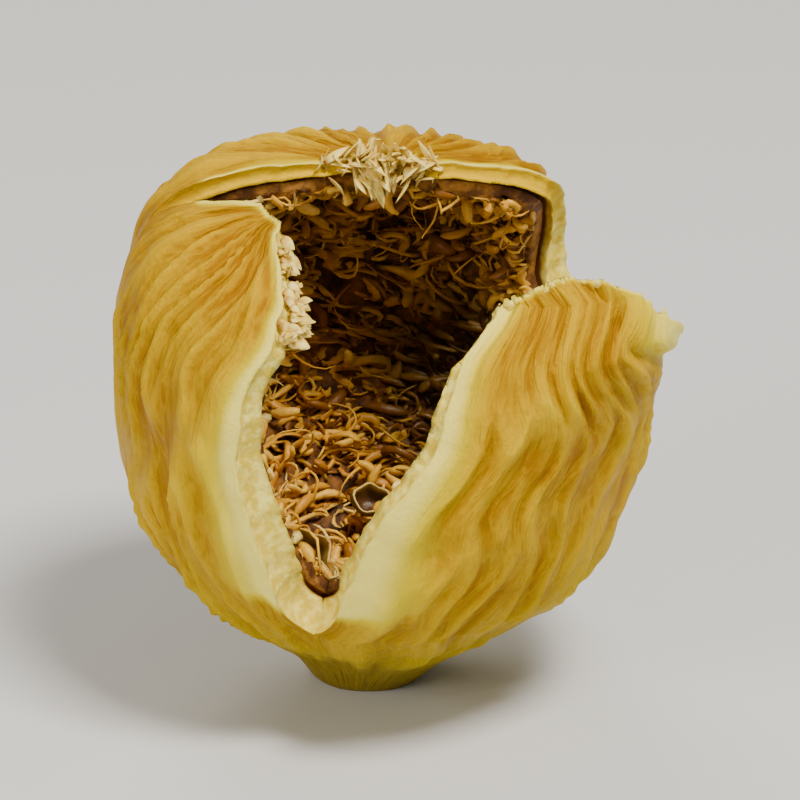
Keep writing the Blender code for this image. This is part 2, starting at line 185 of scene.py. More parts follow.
def skin_point(lobe, across, along, first_inset=0.0, last_inset=0.0, shift=0.0):
    """Points of a lobe's smooth outside, in the fruit's own frame.

    An inset draws a torn edge in, or out if it is negative, and a shift moves points round the fruit.
    """
    latitude = latitude_of(lobe, across, along)
    tilt = np.radians(latitude)
    ring = np.maximum(body_radius(latitude, 0.0) * np.cos(tilt), 1 * MM)
    first, last = along_knots(lobe.first_edge, latitude), along_knots(lobe.last_edge, latitude)
    first = first + np.degrees(torn(lobe.first_edge, latitude) * first_inset / ring)
    last = last - np.degrees(torn(lobe.last_edge, latitude) * last_inset / ring)
    azimuth = first + (last - first) * across + np.degrees(shift / ring)
    radius = body_radius(latitude, azimuth)
    out, up = radius * np.cos(tilt), radius * np.sin(tilt)
    lean_from = lobe.leans_from[0] + (lobe.leans_from[1] - lobe.leans_from[0]) * across
    lean = np.radians(lobe.leans[0] + (lobe.leans[1] - lobe.leans[0]) * across)
    lean = lean * smooth(lean_from, LEANS_FULLY_AT, latitude)
    hinge_radius, hinge_tilt = body_radius(lean_from, azimuth), np.radians(lean_from)
    hinge_out, hinge_up = hinge_radius * np.cos(hinge_tilt), hinge_radius * np.sin(hinge_tilt)
    arm_out, arm_up = out - hinge_out, up - hinge_up
    out = hinge_out + arm_out * np.cos(lean) + arm_up * np.sin(lean)
    up = hinge_up + arm_up * np.cos(lean) - arm_out * np.sin(lean)
    turn = np.radians(azimuth)
    return np.stack((out * np.cos(turn), out * np.sin(turn), up), axis=-1)


def unit(vectors):
    return vectors / np.maximum(np.linalg.norm(vectors, axis=-1, keepdims=True), 1e-12)


def skin_normal(lobe, across, along, *insets):
    step = 0.004
    sides = [skin_point(lobe, np.clip(across + d, 0, 1), along, *insets) for d in (-step, step)]
    ends = [skin_point(lobe, across, np.minimum(along + d, 1), *insets) for d in (-step, step)]
    return unit(np.cross(sides[1] - sides[0], ends[1] - ends[0]))


def wall_at(latitude):
    return WALL + (WALL_AT_TIP - WALL) * smooth(WALL_THINS_FROM, WALL_THINS_TO, latitude)


def neck_pull(latitude):
    return NECK * np.exp(-(((90.0 + latitude) / NECK_SPREAD) ** 2))[..., None]


lean_turn = Matrix.Rotation(math.radians(LEAN), 3, "X")
stem_tip = lean_turn @ Vector(
    neck_pull(np.array(FIRST_RING)) - np.array((0.0, 0.0, float(body_radius(np.array(FIRST_RING), 0.0))))
)
lift = np.array((-stem_tip.x, PRESSED_SPOT_FORWARD - stem_tip.y, -stem_tip.z - PRESSED))


def kept_to_size(points):
    """Standing points, pressed flat below and kept to the solid's own size."""
    return np.clip(points, solid_box[0], solid_box[1])


def stand_up(points):
    """From the fruit's own frame to the standing one."""
    return kept_to_size(points @ np.array(lean_turn).T + lift)


def waver(points, size, seed):
    """Smooth noise from -1 to 1 at the points, with features of about that size."""
    apart = np.array((7.3, 3.1, 5.7)) * seed
    places = (points.reshape(-1, 3) / size + apart).tolist()
    return np.array([noise.noise(place) for place in places]).reshape(points.shape[:-1])


def grid_cells(ids):
    """The four-cornered faces of a grid of points, from the points' numbers."""
    return np.stack((ids[:-1, :-1], ids[:-1, 1:], ids[1:, 1:], ids[1:, :-1]), axis=-1).reshape(-1, 4)


def mesh_piece(name, points, faces, finish, attributes=()):
    """A smooth-shaded mesh object from standing points, with a value at each point for each attribute."""
    mesh = bpy.data.meshes.new(name)
    mesh.from_pydata(points.tolist(), [], faces)
    for title, values in dict(attributes).items():
        layer = mesh.attributes.new(title, "FLOAT", "POINT")
        layer.data.foreach_set("value", np.asarray(values, dtype=np.float32))
    mesh.polygons.foreach_set("use_smooth", np.ones(len(mesh.polygons), dtype=bool))
    mesh.materials.append(finish)
    made = bpy.data.objects.new(name, mesh)
    bpy.context.scene.collection.objects.link(made)
    return made


class Value:
    """A shader socket, so that the maths of a finish reads as plain expressions."""

    def __init__(self, nodes, socket):
        self.nodes = nodes
        self.socket = socket

    def node(self, kind, settings=None, out=0, **inputs):
        """Any node, with its sockets fed. An input is named by its title, or by i and its number."""
        made = self.nodes.new(kind)
        for title, value in (settings or {}).items():
            if title == "stops":
                ramp = made.color_ramp
                while len(ramp.elements) < len(value):
                    ramp.elements.new(0.5)
                for stop, (place, colour) in zip(ramp.elements, value):
                    stop.position = place
                    stop.color = (*colour, 1.0)
            else:
                setattr(made, title, value)
        for title, value in inputs.items():
            key = int(title[1:]) if title[1:].isdigit() else title.replace("_", " ")
            self.feed(made.inputs[key], value)
        return Value(self.nodes, made.outputs[out])

    def feed(self, socket, value):
        if isinstance(value, Value):
            self.nodes.id_data.links.new(value.socket, socket)
        else:
            socket.default_value = value

    def maths(self, operation, *values):
        inputs = {f"i{k}": value for k, value in enumerate(values)}
        return self.node("ShaderNodeMath", {"operation": operation}, **inputs)

    def __add__(self, other):
        return self.maths("ADD", self, other)

    __radd__ = __add__

    def __mul__(self, other):
        return self.maths("MULTIPLY", self, other)

    __rmul__ = __mul__

    def __sub__(self, other):
        return self.maths("SUBTRACT", self, other)

    def __rsub__(self, other):
        return self.maths("SUBTRACT", other, self)

    def __abs__(self):
        return self.maths("ABSOLUTE", self)

    def between(self, start, end):
        """0 at start, 1 at end."""
        return self.node(
            "ShaderNodeMapRange", {"interpolation_type": "SMOOTHSTEP"},
            Value=self, From_Min=start, From_Max=end, To_Min=0.0, To_Max=1.0,
        )

    def tint(self, low, high):
        """A colour that goes from low to high as this value goes from 0 to 1."""
        colours = [(*c, 1.0) if isinstance(c, tuple) else c for c in (low, high)]
        return self.node("ShaderNodeMix", {"data_type": "RGBA"}, out=2, i0=self, i6=colours[0], i7=colours[1])

    def clouds(self, size, detail=3.0, roughness=0.55):
        """Noise from 0 to 1 over the object, with features of about that size in metres."""
        place = self.node("ShaderNodeTexCoord", out="Object")
        return self.node(
            "ShaderNodeTexNoise", Vector=place, Scale=1.0 / size, Detail=detail, Roughness=roughness,
        )

    def attribute(self, title):
        return self.node("ShaderNodeAttribute", {"attribute_name": title}, out="Fac")

    def bump(self, strength, distance, height):
        return self.node("ShaderNodeBump", Strength=strength, Distance=distance, Height=height)


def finish_of(name, roughness):
    """A new material, its surface and the start of its shader maths."""
    made = bpy.data.materials.new(name)
    made.use_nodes = True
    surface = made.node_tree.nodes["Principled BSDF"]
    surface.inputs["Roughness"].default_value = roughness
    return made, surface, Value(made.node_tree.nodes, None)


# The skin's relief is broad folds, with sharp ribs between them and a fine pucker all over. Ribs and folds
# flatten where they would crowd together
RIDGE_HEIGHT, RIDGE_CROWDING = 0.34 * MM, 1.2 * MM
RIDGE_ROUNDNESS = 0.8
RIDGE_WANDER, RIDGE_WANDER_SIZE = 0.8, 6 * MM
RIDGE_UNEVEN, RIDGE_UNEVEN_SIZE = (0.65, 0.8), 3.5 * MM
UPRIGHT_STRETCH = (1, 1, 0.6)
RIDGES_RISE_OVER = 25
RIB_HEIGHT, RIB_SHARPNESS = 0.62 * MM, 3.4
RIB_UNEVEN, RIB_UNEVEN_SIZE = (0.75, 0.7), 5 * MM
RIBS_PER_RIDGE, RIB_RUNS = 1.25, 2.6
RIBS_APART_BY_LOBE = 9.0
SEAM_SHARE = 0.07
PUCKER_HEIGHT, PUCKER_SIZE = 0.12 * MM, 1.5 * MM
# The relief also sets the crest value, by which the skin is painted darker in its valleys as painted shade
# and lighter on its crests as a painted highlight
FOLDS_IN_COLOUR, RIBS_IN_COLOUR = 0.45, 0.75

# The right lobe's outer top corner flares beyond a fold that runs down from the top to the torn edge
FOLD_DEPTH, FOLD_WIDTH = 0.6 * MM, 0.05
FOLD_RUNS = ((10.0, 1.0), (48.0, 0.52))
FOLD_FADES = (8.0, 22.0)

RAGGED, RAG_SIZES = 0.22 * MM, (1.3 * MM, 0.6 * MM)
FAR_OFF = 9.0
TIP_PALE = 0.7
LIP_YELLOWS = (15.0, 45.0)
RIM_RINGS = 5
RIM_GRAINS = (0.55 * MM, 1.6 * MM)
RIM_SWELL, RIM_GRAIN_HEIGHT = 0.14, 0.3 * MM
RIM_ROUNDNESS = 0.6
RIM_FLESH = 0.7
GRAINY, LESS_GRAINY_AT_LIP = 0.5, 0.2
GRAINY_RIGHT, GRAINY_RIGHT_FROM = 1.3, (4.0, 16.0)
INSIDE_SHARE = 0.97
RIDGES = sum(lobe.ridges for lobe in LOBES)


def ragged(edge, seed):
    return waver(edge, RAG_SIZES[0], seed) + 0.5 * waver(edge, RAG_SIZES[1], seed + 1)


outside, inside, lobe_facts, vert_ids = [], [], [], []
total = 0
for order, lobe in enumerate(LOBES):
    across, along = np.meshgrid(np.linspace(0, 1, lobe.columns + 1), np.linspace(0, 1, RIND_ROWS + 1))
    latitude = latitude_of(lobe, across, along)
    plain = skin_point(lobe, across, along)
    width = np.linalg.norm(plain[:, -1] - plain[:, 0], axis=-1)[:, None]
    from_first = across * width / MM + (1 - torn(lobe.first_edge, latitude)) * FAR_OFF
    from_last = (1 - across) * width / MM + (1 - torn(lobe.last_edge, latitude)) * FAR_OFF
    from_tip = (1 - along) * LOBE_LENGTH / MM
    first_rag, last_rag = ragged(plain[:, :1], 20), ragged(plain[:, -1:], 22)
    shift = RAGGED * (first_rag * np.exp(-from_first) - last_rag * np.exp(-from_last))
    base = skin_point(lobe, across, along, 0.0, 0.0, shift)
    normal = skin_normal(lobe, across, along)

    phase = lobe.ridges * across + RIDGE_WANDER * waver(base, RIDGE_WANDER_SIZE, 1) * np.sin(np.pi * across)
    crowded = np.minimum(width / lobe.ridges / RIDGE_CROWDING, 1.0)
    started = smooth(FIRST_RING, FIRST_RING + RIDGES_RISE_OVER, latitude)
    broad = np.abs(np.cos(np.pi * phase)) ** RIDGE_ROUNDNESS
    uneven = RIDGE_UNEVEN[0] + RIDGE_UNEVEN[1] * waver(base * UPRIGHT_STRETCH, RIDGE_UNEVEN_SIZE, 3)
    folds = broad * uneven * crowded * started
    apart = np.full(across.shape, RIBS_APART_BY_LOBE * order)
    flow = np.stack((phase * RIBS_PER_RIDGE, along * RIB_RUNS, apart), axis=-1)
    sharp = 1 - np.minimum(np.abs(waver(flow, 1.0, 30)) * RIB_SHARPNESS, 1.0)
    seam = smooth(0.0, SEAM_SHARE, across) * smooth(0.0, SEAM_SHARE, 1 - across)
    uneven = RIB_UNEVEN[0] + RIB_UNEVEN[1] * waver(base, RIB_UNEVEN_SIZE, 8)
    ribs = sharp * uneven * seam * crowded * started
    pucker = waver(base, PUCKER_SIZE, 4) * PUCKER_HEIGHT
    raised = base + normal * (RIDGE_HEIGHT * folds + RIB_HEIGHT * ribs + pucker * started)[..., None]
    if lobe is RIGHT_LOBE:
        past_fold = (across - along_knots(FOLD_RUNS, latitude)) / FOLD_WIDTH
        fold = np.exp(-past_fold * past_fold) * smooth(*FOLD_FADES, latitude)
        raised = raised - normal * (FOLD_DEPTH * fold)[..., None]
    outside.append(raised + neck_pull(latitude))

    first_flesh = along_knots(lobe.first_flesh, latitude) * MM
    last_flesh = along_knots(lobe.last_flesh, latitude) * MM
    under = skin_point(lobe, across, along, -first_flesh, -last_flesh, shift)
    under_normal = skin_normal(lobe, across, along, -first_flesh, -last_flesh)
    inside.append(under - under_normal * (wall_at(latitude) * INSIDE_SHARE)[..., None])

    first_pale = 1 - from_first / along_knots(lobe.first_pale, latitude)
    last_pale = 1 - from_last / along_knots(lobe.last_pale, latitude)
    pale = np.maximum(np.maximum(first_pale, last_pale), 1 - from_tip / TIP_PALE)
    lip = float(lobe is BACK_LOBE) * smooth(*LIP_YELLOWS, latitude)
    grainy = GRAINY - LESS_GRAINY_AT_LIP * lip
    if lobe is RIGHT_LOBE:
        grainy = GRAINY_RIGHT * smooth(*GRAINY_RIGHT_FROM, latitude) * (across < 0.5)
    turn = 2 * np.pi * (phase + sum(other.ridges for other in LOBES[:order])) / RIDGES
    lobe_facts.append({
        "crest": FOLDS_IN_COLOUR * folds + RIBS_IN_COLOUR * ribs,
        "pale": np.clip(pale, 0, 1),
        "height": latitude / 90.0,
        "turn_x": np.cos(turn),
        "turn_y": np.sin(turn),
        "lip": lip,
        "grainy": grainy,
    })
    vert_ids.append(np.arange(across.size).reshape(across.shape) + total)
    total += across.size

# Neighbouring lobes share their edge up to the foot of the tear between them
for first, second, foot in ((0, 1, RIGHT_FOOT), (1, 2, LEFT_FOOT), (2, 0, FRONT_FOOT)):
    edge_latitude = latitude_of(LOBES[first], np.ones(RIND_ROWS + 1), np.linspace(0, 1, RIND_ROWS + 1))
    rows = edge_latitude <= foot[0] + 1e-6
    vert_ids[second][rows, 0] = vert_ids[first][rows, -1]

quads = np.concatenate([grid_cells(ids) for ids in vert_ids])
outer = stand_up(np.concatenate([p.reshape(-1, 3) for p in outside]))
inner = stand_up(np.concatenate([p.reshape(-1, 3) for p in inside]))
facts = {title: np.concatenate([each[title].ravel() for each in lobe_facts]) for title in lobe_facts[0]}

# The torn rim is rounded from the skin's edge to the wall's inner edge, and grainy
sides = np.concatenate([quads[:, [k, (k + 1) % 4]] for k in range(4)])
_, where, counts = np.unique(np.sort(sides, axis=1), axis=0, return_index=True, return_counts=True)
first_ring = {int(v) for ids in vert_ids for v in ids[0]}
rim_sides = [side for side in sides[where[counts == 1]].tolist() if not set(side) <= first_ring]
rim_verts = np.unique(rim_sides)
rim_place = {int(v): k for k, v in enumerate(rim_verts)}
ahead, behind = dict(rim_sides), {b: a for a, b in rim_sides}
along_rim = np.array([outer[ahead.get(v, v)] - outer[behind.get(v, v)] for v in rim_verts.tolist()])
across_wall = inner[rim_verts] - outer[rim_verts]
away = unit(np.cross(along_rim, across_wall))
thickness = np.linalg.norm(across_wall, axis=1, keepdims=True)
points, rim_rings = [outer, inner], []
for ring in range(1, RIM_RINGS + 1):
    share = ring / (RIM_RINGS + 1)
    middle = outer[rim_verts] + across_wall * share
    grain = waver(middle, RIM_GRAINS[0], 9) + 0.5 * waver(middle, RIM_GRAINS[1], 10)
    grain = (0.3 + 0.9 * facts["grainy"][rim_verts] * (grain + 0.4))[:, None]
    swell = np.sin(np.pi * share) ** RIM_ROUNDNESS * (RIM_SWELL * thickness + RIM_GRAIN_HEIGHT * grain)
    rim_rings.append(len(outer) + len(inner) + (ring - 1) * len(rim_verts) + np.arange(len(rim_verts)))
    points.append(middle + away * swell)
rim_rings = [rim_verts, *rim_rings, rim_verts + len(outer)]
faces = quads.tolist() + (quads[:, ::-1] + len(outer)).tolist()
for upper, lower in zip(rim_rings, rim_rings[1:]):
    for a, b in rim_sides:
        a, b = rim_place[a], rim_place[b]
        faces.append([int(upper[b]), int(upper[a]), int(lower[a]), int(lower[b])])

# The stem end is closed by one face outside and one inside
stem_ring = [int(v) for ids in vert_ids for v in ids[0, :-1]]
faces.append(stem_ring[::-1])
faces.append([v + len(outer) for v in stem_ring])

rim_count = RIM_RINGS * len(rim_verts)
flesh = np.concatenate((np.zeros(len(outer)), np.ones(len(inner)), np.full(rim_count, RIM_FLESH)))
shown = {
    title: np.concatenate((values, values, np.tile(values[rim_verts], RIM_RINGS)))
    for title, values in facts.items() if title != "grainy"
}

# The skin's yellows hold no blue, except where it has faded at a tear, because the view's colours wash a lit
# yellow out as soon as it has some
VALLEY_WITH_SHADE, FLANK, CREST_HIGHLIGHT = (0.34, 0.15, 0.0), (0.60, 0.37, 0.0), (0.76, 0.54, 0.0)
PATCH, FLECK, WRINKLE = (0.60, 0.40, 0.0), (0.28, 0.115, 0.0), (0.64, 0.42, 0.0)
SHADED_UNDERSIDE, FADED, FADED_AT_EDGE = (0.34, 0.27, 0.0), (0.68, 0.54, 0.0), (0.94, 0.84, 0.17)
FLESH, FLESH_GRAIN = (0.74, 0.58, 0.06), (0.98, 0.90, 0.24)
LIP, INNER_WALL = (0.78, 0.52, 0.0), (0.30, 0.13, 0.02)
GLOSS_TINT = (1.0, 0.66, 0.03, 1.0)
WRINKLES_ROUND, WRINKLES_UP = 16.0, 6.8

skin_finish, surface, paint = finish_of("dried_skin", 0.45)
surface.inputs["Specular IOR Level"].default_value = 0.12
surface.inputs["Specular Tint"].default_value = GLOSS_TINT
flesh_here = paint.attribute("flesh")
is_flesh = flesh_here.between(0.0, 0.35)
pale_share = paint.attribute("pale")
crest = paint.attribute("crest")
height = paint.attribute("height")
patches = paint.clouds(7 * MM, 2.0)
mottle = paint.clouds(1.2 * MM, 4.0, 0.6)
way_round = paint.node(
    "ShaderNodeCombineXYZ",
    X=paint.attribute("turn_x") * WRINKLES_ROUND,
    Y=paint.attribute("turn_y") * WRINKLES_ROUND,
    Z=height * WRINKLES_UP,
)
wrinkles = paint.node(
    "ShaderNodeTexNoise", Vector=way_round, Scale=1.0, Detail=3.0, Roughness=0.55, Distortion=0.3,
)
wrinkles = 1 - abs(wrinkles - 0.5) * 5.0

# The valleys are a deeper orange of their own, painted darker still as painted shade
yellow = crest.between(0.15, 0.75).tint(VALLEY_WITH_SHADE, FLANK)
yellow = (patches.between(0.45, 0.7) * 0.4).tint(yellow, PATCH)
yellow = (mottle.between(0.52, 0.75) * 0.4).tint(yellow, FLECK)
# Painted highlight along the crests of the fine wrinkles
yellow = (wrinkles.between(0.6, 1.0) * 0.4).tint(yellow, WRINKLE)
# Painted highlight on the highest crests of the relief
yellow = (crest.between(0.75, 1.1) * 0.8).tint(yellow, CREST_HIGHLIGHT)
# Painted shade: the skin is painted darker and greener towards the bottom, for the shade on the underside
low = 1 - height.between(-0.75, -0.1)
yellow = (low * 0.7).tint(yellow, SHADED_UNDERSIDE)
yellow = pale_share.between(0.05, 0.6).tint(yellow, FADED)
yellow = pale_share.between(0.45, 0.85).tint(yellow, FADED_AT_EDGE)
cream = paint.clouds(0.6 * MM, 3.0).between(0.35, 0.7).tint(FLESH, FLESH_GRAIN)
cream = paint.attribute("lip").tint(cream, LIP)
bare = 1 - pale_share.between(0.2, 0.6)
cream = (flesh_here.between(0.9, 1.0) * bare).tint(cream, INNER_WALL)
paint.feed(surface.inputs["Base Color"], is_flesh.tint(yellow, cream))
paint.feed(surface.inputs["Roughness"], 0.36 + is_flesh * 0.35 + mottle * 0.16)
bare_skin = (1 - is_flesh) * (1 - pale_share.between(0.1, 0.8) * 0.8)
relief = wrinkles * bare_skin * 0.5 + paint.clouds(0.4 * MM, 5.0, 0.65) * 0.6
paint.feed(surface.inputs["Normal"], paint.bump(0.8, 0.28 * MM, relief))

rind = mesh_piece("torn_rind", np.concatenate(points), faces, skin_finish, {"flesh": flesh, **shown})
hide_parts("rind")
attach(rind, "root")


# The felt: the feet of the dried florets, which grew inwards from the wall all over. They cling together in a
# rough dark brown layer that lines the hollow down to the stem end. Its brown is mottled down to near black,
# partly as painted shade between the florets, and it is painted paler at its edges by the tears, as painted
# light there.

GAP, LINING, LINING_INSET = 0.3 * MM, 1.1 * MM, 0.4 * MM
LINING_STOPS = {RIGHT_LOBE: 0.98, BACK_LOBE: 0.98, LEFT_LOBE: 0.95}
FELT_COLUMNS, FELT_ROWS = 70, 96
STEM_END = -0.066
FELT_LUMPS = (0.9 * MM, 0.45 * MM)
FELT_DEPTH = (0.75, 0.55)
EDGE_SHARPNESS = 10


def felt_point(lobe, across, along, depth=0.0):
    """Points on the lining at a depth into the hollow from the side that faces the wall."""
    reach = along * LINING_STOPS[lobe]
    deep = wall_at(latitude_of(lobe, across, reach)) + GAP + depth
    point = skin_point(lobe, across, reach, LINING_INSET, LINING_INSET)
    return point - skin_normal(lobe, across, reach, LINING_INSET, LINING_INSET) * deep[..., None]


right, top = FELT_COLUMNS - 1, FELT_ROWS - 1
border = [(0, k) for k in range(right)] + [(k, right) for k in range(top)]
border += [(top, k) for k in range(right, 0, -1)] + [(k, 0) for k in range(top, 0, -1)]

felt_points, felt_faces, felt_edges, start = [], [], [], 0
for lobe in LOBES:
    across, along = np.meshgrid(np.linspace(0, 1, FELT_COLUMNS), np.linspace(STEM_END, 1, FELT_ROWS))
    back = felt_point(lobe, across, along)
    rough = waver(back, FELT_LUMPS[0], 5) + 0.8 * waver(back, FELT_LUMPS[1], 6)
    front = felt_point(lobe, across, along, LINING * (FELT_DEPTH[0] + FELT_DEPTH[1] * rough))
    front_ids = np.arange(across.size).reshape(across.shape) + start
    back_ids = front_ids + across.size
    felt_faces.extend(grid_cells(front_ids)[:, ::-1].tolist())
    felt_faces.extend(grid_cells(back_ids).tolist())
    for here, there in zip(border, border[1:] + border[:1]):
        felt_faces.append([int(ids[at]) for ids, at in (
            (front_ids, here), (front_ids, there), (back_ids, there), (back_ids, here),
        )])
    felt_points.extend((front.reshape(-1, 3), back.reshape(-1, 3)))
    edge = np.maximum(np.abs(2 * across - 1), along).ravel() ** EDGE_SHARPNESS
    felt_edges.extend((edge, edge))
    start += 2 * across.size

# Painted shade and light: the felt's near black stands partly for shade between the florets, and its paler
# edge colours for light that reaches in at the tears
FELT_DEEP_SHADE, FELT_TOP = (0.04, 0.013, 0.002), (0.24, 0.09, 0.01)
FELT_EDGE_DEEP, FELT_EDGE = (0.12, 0.04, 0.005), (0.42, 0.19, 0.025)

felt_finish, surface, paint = finish_of("floret_felt", 0.75)
lumps = paint.clouds(1.2 * MM, 4.0, 0.6)
felt_colour = lumps.between(0.35, 0.7).tint(FELT_DEEP_SHADE, FELT_TOP)
edge_colour = lumps.between(0.4, 0.62).tint(FELT_EDGE_DEEP, FELT_EDGE)
paint.feed(surface.inputs["Base Color"], (paint.attribute("edge") * 0.85).tint(felt_colour, edge_colour))
paint.feed(surface.inputs["Normal"], paint.bump(0.8, 0.3 * MM, paint.clouds(0.5 * MM, 4.0)))

felt_points, felt_edges = np.concatenate(felt_points), np.concatenate(felt_edges)
felt = mesh_piece("floret_felt", stand_up(felt_points), felt_faces, felt_finish, {"edge": felt_edges})
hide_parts("floret_lining")
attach(felt, "root")


# The florets: nearly three thousand dried threads that stand up from the felt and curl over each other, some
# plump, some thin, and some with a swollen seed. They are golden, painted lighter at the torn front as
# painted light, and painted darker deep inside as painted shade.

FLORET_SEED = 4
ROOTED_AT, LIES_ON = 0.55 * LINING, 0.8 * LINING
SCATTER, CURL_VARIES, TWIST = 0.7, (0.5, 1.3), 0.4
SHARES = {RIGHT_LOBE: 0.31, BACK_LOBE: 0.44, LEFT_LOBE: 0.25}
DRAWS_PER_FLORET = 4
KEPT_AT_POLE = 0.12
NARROWEST_BED = 6 * MM

# Three opened florets low in the hollow are little cups. Each has a middle, the way it faces and a radius
CUPS = (
    (np.array((-3.5, -4.9, 9.6)) * MM, (0.25, -0.75, 0.6), 1.5 * MM),
    (np.array((0.4, 0.2, 10.8)) * MM, (0.1, -0.7, 0.7), 1.1 * MM),
    (np.array((-2.2, -6.6, 7.7)) * MM, (0.1, -0.8, 0.6), 0.6 * MM),
)
CUP_CLEAR = 0.3 * MM

# Painted shade: where the hollow is deepest, its size there, and how dark the florets are painted in its
# shade
DEEP_PLACE = np.array((4.5, 5.0, 16.0)) * MM
DEEP_SPREAD = np.array((6.0, 7.0, 6.0)) * MM
DARKEST, DARKENS = 0.8, (1.3, 0.5)

# Painted light: towards the front tear the florets are painted lighter over this stretch, where light reaches
# in
LIGHTENS = (4 * MM, -9 * MM)
TONE_VARIES, PAINTED_LIGHT_AT_FRONT = 0.75, 0.35

dice = np.random.default_rng(FLORET_SEED)


def tube_cells(rings, sides):
    """The faces round a tube, from its first ring of points to its last."""
    ids = np.arange(rings * sides).reshape(rings, sides)
    return grid_cells(np.column_stack((ids, ids[:, 0])))


def strands(paths, widths, upright, flatness, sides):
    """Points and faces of closed tubes along the paths.

    Each is as wide at each ring as widths says, and thinner by flatness along its upright direction.
    """
    count, rings = widths.shape
    forward = unit(np.gradient(paths, axis=1))
    side = unit(np.cross(forward, upright[:, None, :]))
    rise = np.cross(side, forward)
    turn = np.linspace(0, 2 * np.pi, sides, endpoint=False)
    wide, thick = np.cos(turn)[:, None], (np.sin(turn) * flatness)[:, None]
    round_ring = side[:, :, None, :] * wide + rise[:, :, None, :] * thick
    body = paths[:, :, None, :] + round_ring * widths[:, :, None, None]
    points = np.concatenate((body.reshape(count, -1, 3), paths[:, [0, -1]]), axis=1)
    root, tip, last = rings * sides, rings * sides + 1, (rings - 1) * sides
    caps = [[root, (k + 1) % sides, k] for k in range(sides)]
    caps += [[tip, last + k, last + (k + 1) % sides] for k in range(sides)]
    offsets = np.arange(count)[:, None, None] * points.shape[1]
    walls = (tube_cells(rings, sides) + offsets).reshape(-1, 4)
    return points, walls.tolist() + (np.array(caps) + offsets).reshape(-1, 3).tolist()


def curled_runs(count, lengths, curl, rings):
    """Threads that stand up from a flat bed and curl round at random, without dipping back into it."""
    forward = unit(np.array((0.0, 0.0, 1.0)) + SCATTER * dice.normal(size=(count, 3)))
    forward[:, 2] = np.abs(forward[:, 2])
    bend = unit(np.cross(forward, dice.normal(size=(count, 3))))
    place = np.zeros((count, 3))
    place[:, 2] = ROOTED_AT
    runs = [place]
    step = (lengths / (rings - 1))[:, None]
    for _ in range(rings - 1):
        turn = (curl * dice.uniform(*CURL_VARIES, count))[:, None]
        ahead = forward * np.cos(turn) + bend * np.sin(turn)
        bend = bend * np.cos(turn) - forward * np.sin(turn)
        forward = ahead
        bend = unit(bend + TWIST * np.cross(forward, bend) * dice.normal(size=(count, 1)))
        place = place + forward * step
        place[:, 2] = np.maximum(place[:, 2], LIES_ON)
        runs.append(place)
    return np.stack(runs, axis=1)


def floret_paths(number, lengths, curl, rings):
    """Standing paths of florets all over the lining, fewer where it narrows and none through the cups."""
    paths = []
    for lobe, share in SHARES.items():
        wanted = int(number * share)
        across = dice.uniform(0.0, 1.0, wanted * DRAWS_PER_FLORET)
        along = dice.uniform(STEM_END, 1.0, wanted * DRAWS_PER_FLORET)
        latitude = latitude_of(lobe, across, along * LINING_STOPS[lobe])
        keep = dice.random(wanted * DRAWS_PER_FLORET) < np.cos(np.radians(latitude)) + KEPT_AT_POLE
        across, along = across[keep][:wanted], along[keep][:wanted]
        run = curled_runs(len(across), dice.uniform(*lengths, len(across)) * MM, curl, rings)
        bed = felt_point(lobe, np.ones(len(across)), along) - felt_point(lobe, np.zeros(len(across)), along)
        bed = np.maximum(np.linalg.norm(bed, axis=-1), NARROWEST_BED)[:, None]
        paths.append(felt_point(
            lobe,
            np.clip(across[:, None] + run[:, :, 0] / bed, 0.0, 1.0),
            np.clip(along[:, None] + run[:, :, 1] / LOBE_LENGTH, STEM_END, 1.0),
            run[:, :, 2],
        ))
    paths = stand_up(np.concatenate(paths))
    for middle, _, radius in CUPS:
        paths = paths[np.linalg.norm(paths - middle, axis=-1).min(axis=1) > radius + CUP_CLEAR]
    return paths


DARK, HOLLOW_SHADE, BLOTCH = (0.07, 0.026, 0.006), (0.012, 0.005, 0.002), (0.30, 0.11, 0.008)
GOLDS = [
    (0.0, (0.22, 0.08, 0.004)), (0.25, (0.56, 0.26, 0.015)), (0.6, (0.84, 0.48, 0.04)),
    (0.85, (0.92, 0.60, 0.10)), (1.0, (0.97, 0.80, 0.28)),
]

thread_finish, surface, paint = finish_of("floret_threads", 0.42)
surface.inputs["Specular IOR Level"].default_value = 0.4
golden = paint.node("ShaderNodeValToRGB", {"stops": GOLDS}, Fac=paint.attribute("tone"))
golden = (paint.clouds(0.9 * MM, 3.0).between(0.45, 0.7) * 0.4).tint(golden, BLOTCH)
thread_colour = paint.attribute("grown").between(-0.1, 0.4).tint(DARK, golden)
thread_colour = paint.attribute("shade").tint(thread_colour, HOLLOW_SHADE)
paint.feed(surface.inputs["Base Color"], thread_colour)
paint.feed(surface.inputs["Normal"], paint.bump(0.5, 0.1 * MM, paint.clouds(0.25 * MM, 3.0)))

# Each kind of floret: how many, their lengths in mm, how many radians they turn at a ring, their width from
# root to tip as shares of a half width in mm, and how much pale lifts their tone
Kind = namedtuple("Kind", "name number lengths curl rings profile halves flatness sides pale")
KINDS = (
    Kind(
        "floret_threads", number=1300, lengths=(2.4, 5.4), curl=0.62, rings=11, flatness=0.5, sides=6,
        profile=(1.0, 0.95, 0.9, 0.85, 0.85, 0.9, 1.0, 1.1, 1.15, 0.85, 0.4), halves=(0.17, 0.36), pale=-0.08,
    ),
    Kind(
        "floret_styles", number=1100, lengths=(1.5, 6.0), curl=0.55, rings=9, flatness=0.7, sides=5,
        profile=(0.8, 1.0, 0.9, 0.6, 0.3), halves=(0.08, 0.17), pale=0.15,
    ),
    Kind(
        "floret_seeds", number=520, lengths=(1.6, 3.2), curl=0.25, rings=9, flatness=0.75, sides=7,
        profile=(0.35, 0.4, 0.5, 0.75, 1.0, 0.95, 0.8, 0.4), halves=(0.27, 0.46), pale=-0.05,
    ),
)

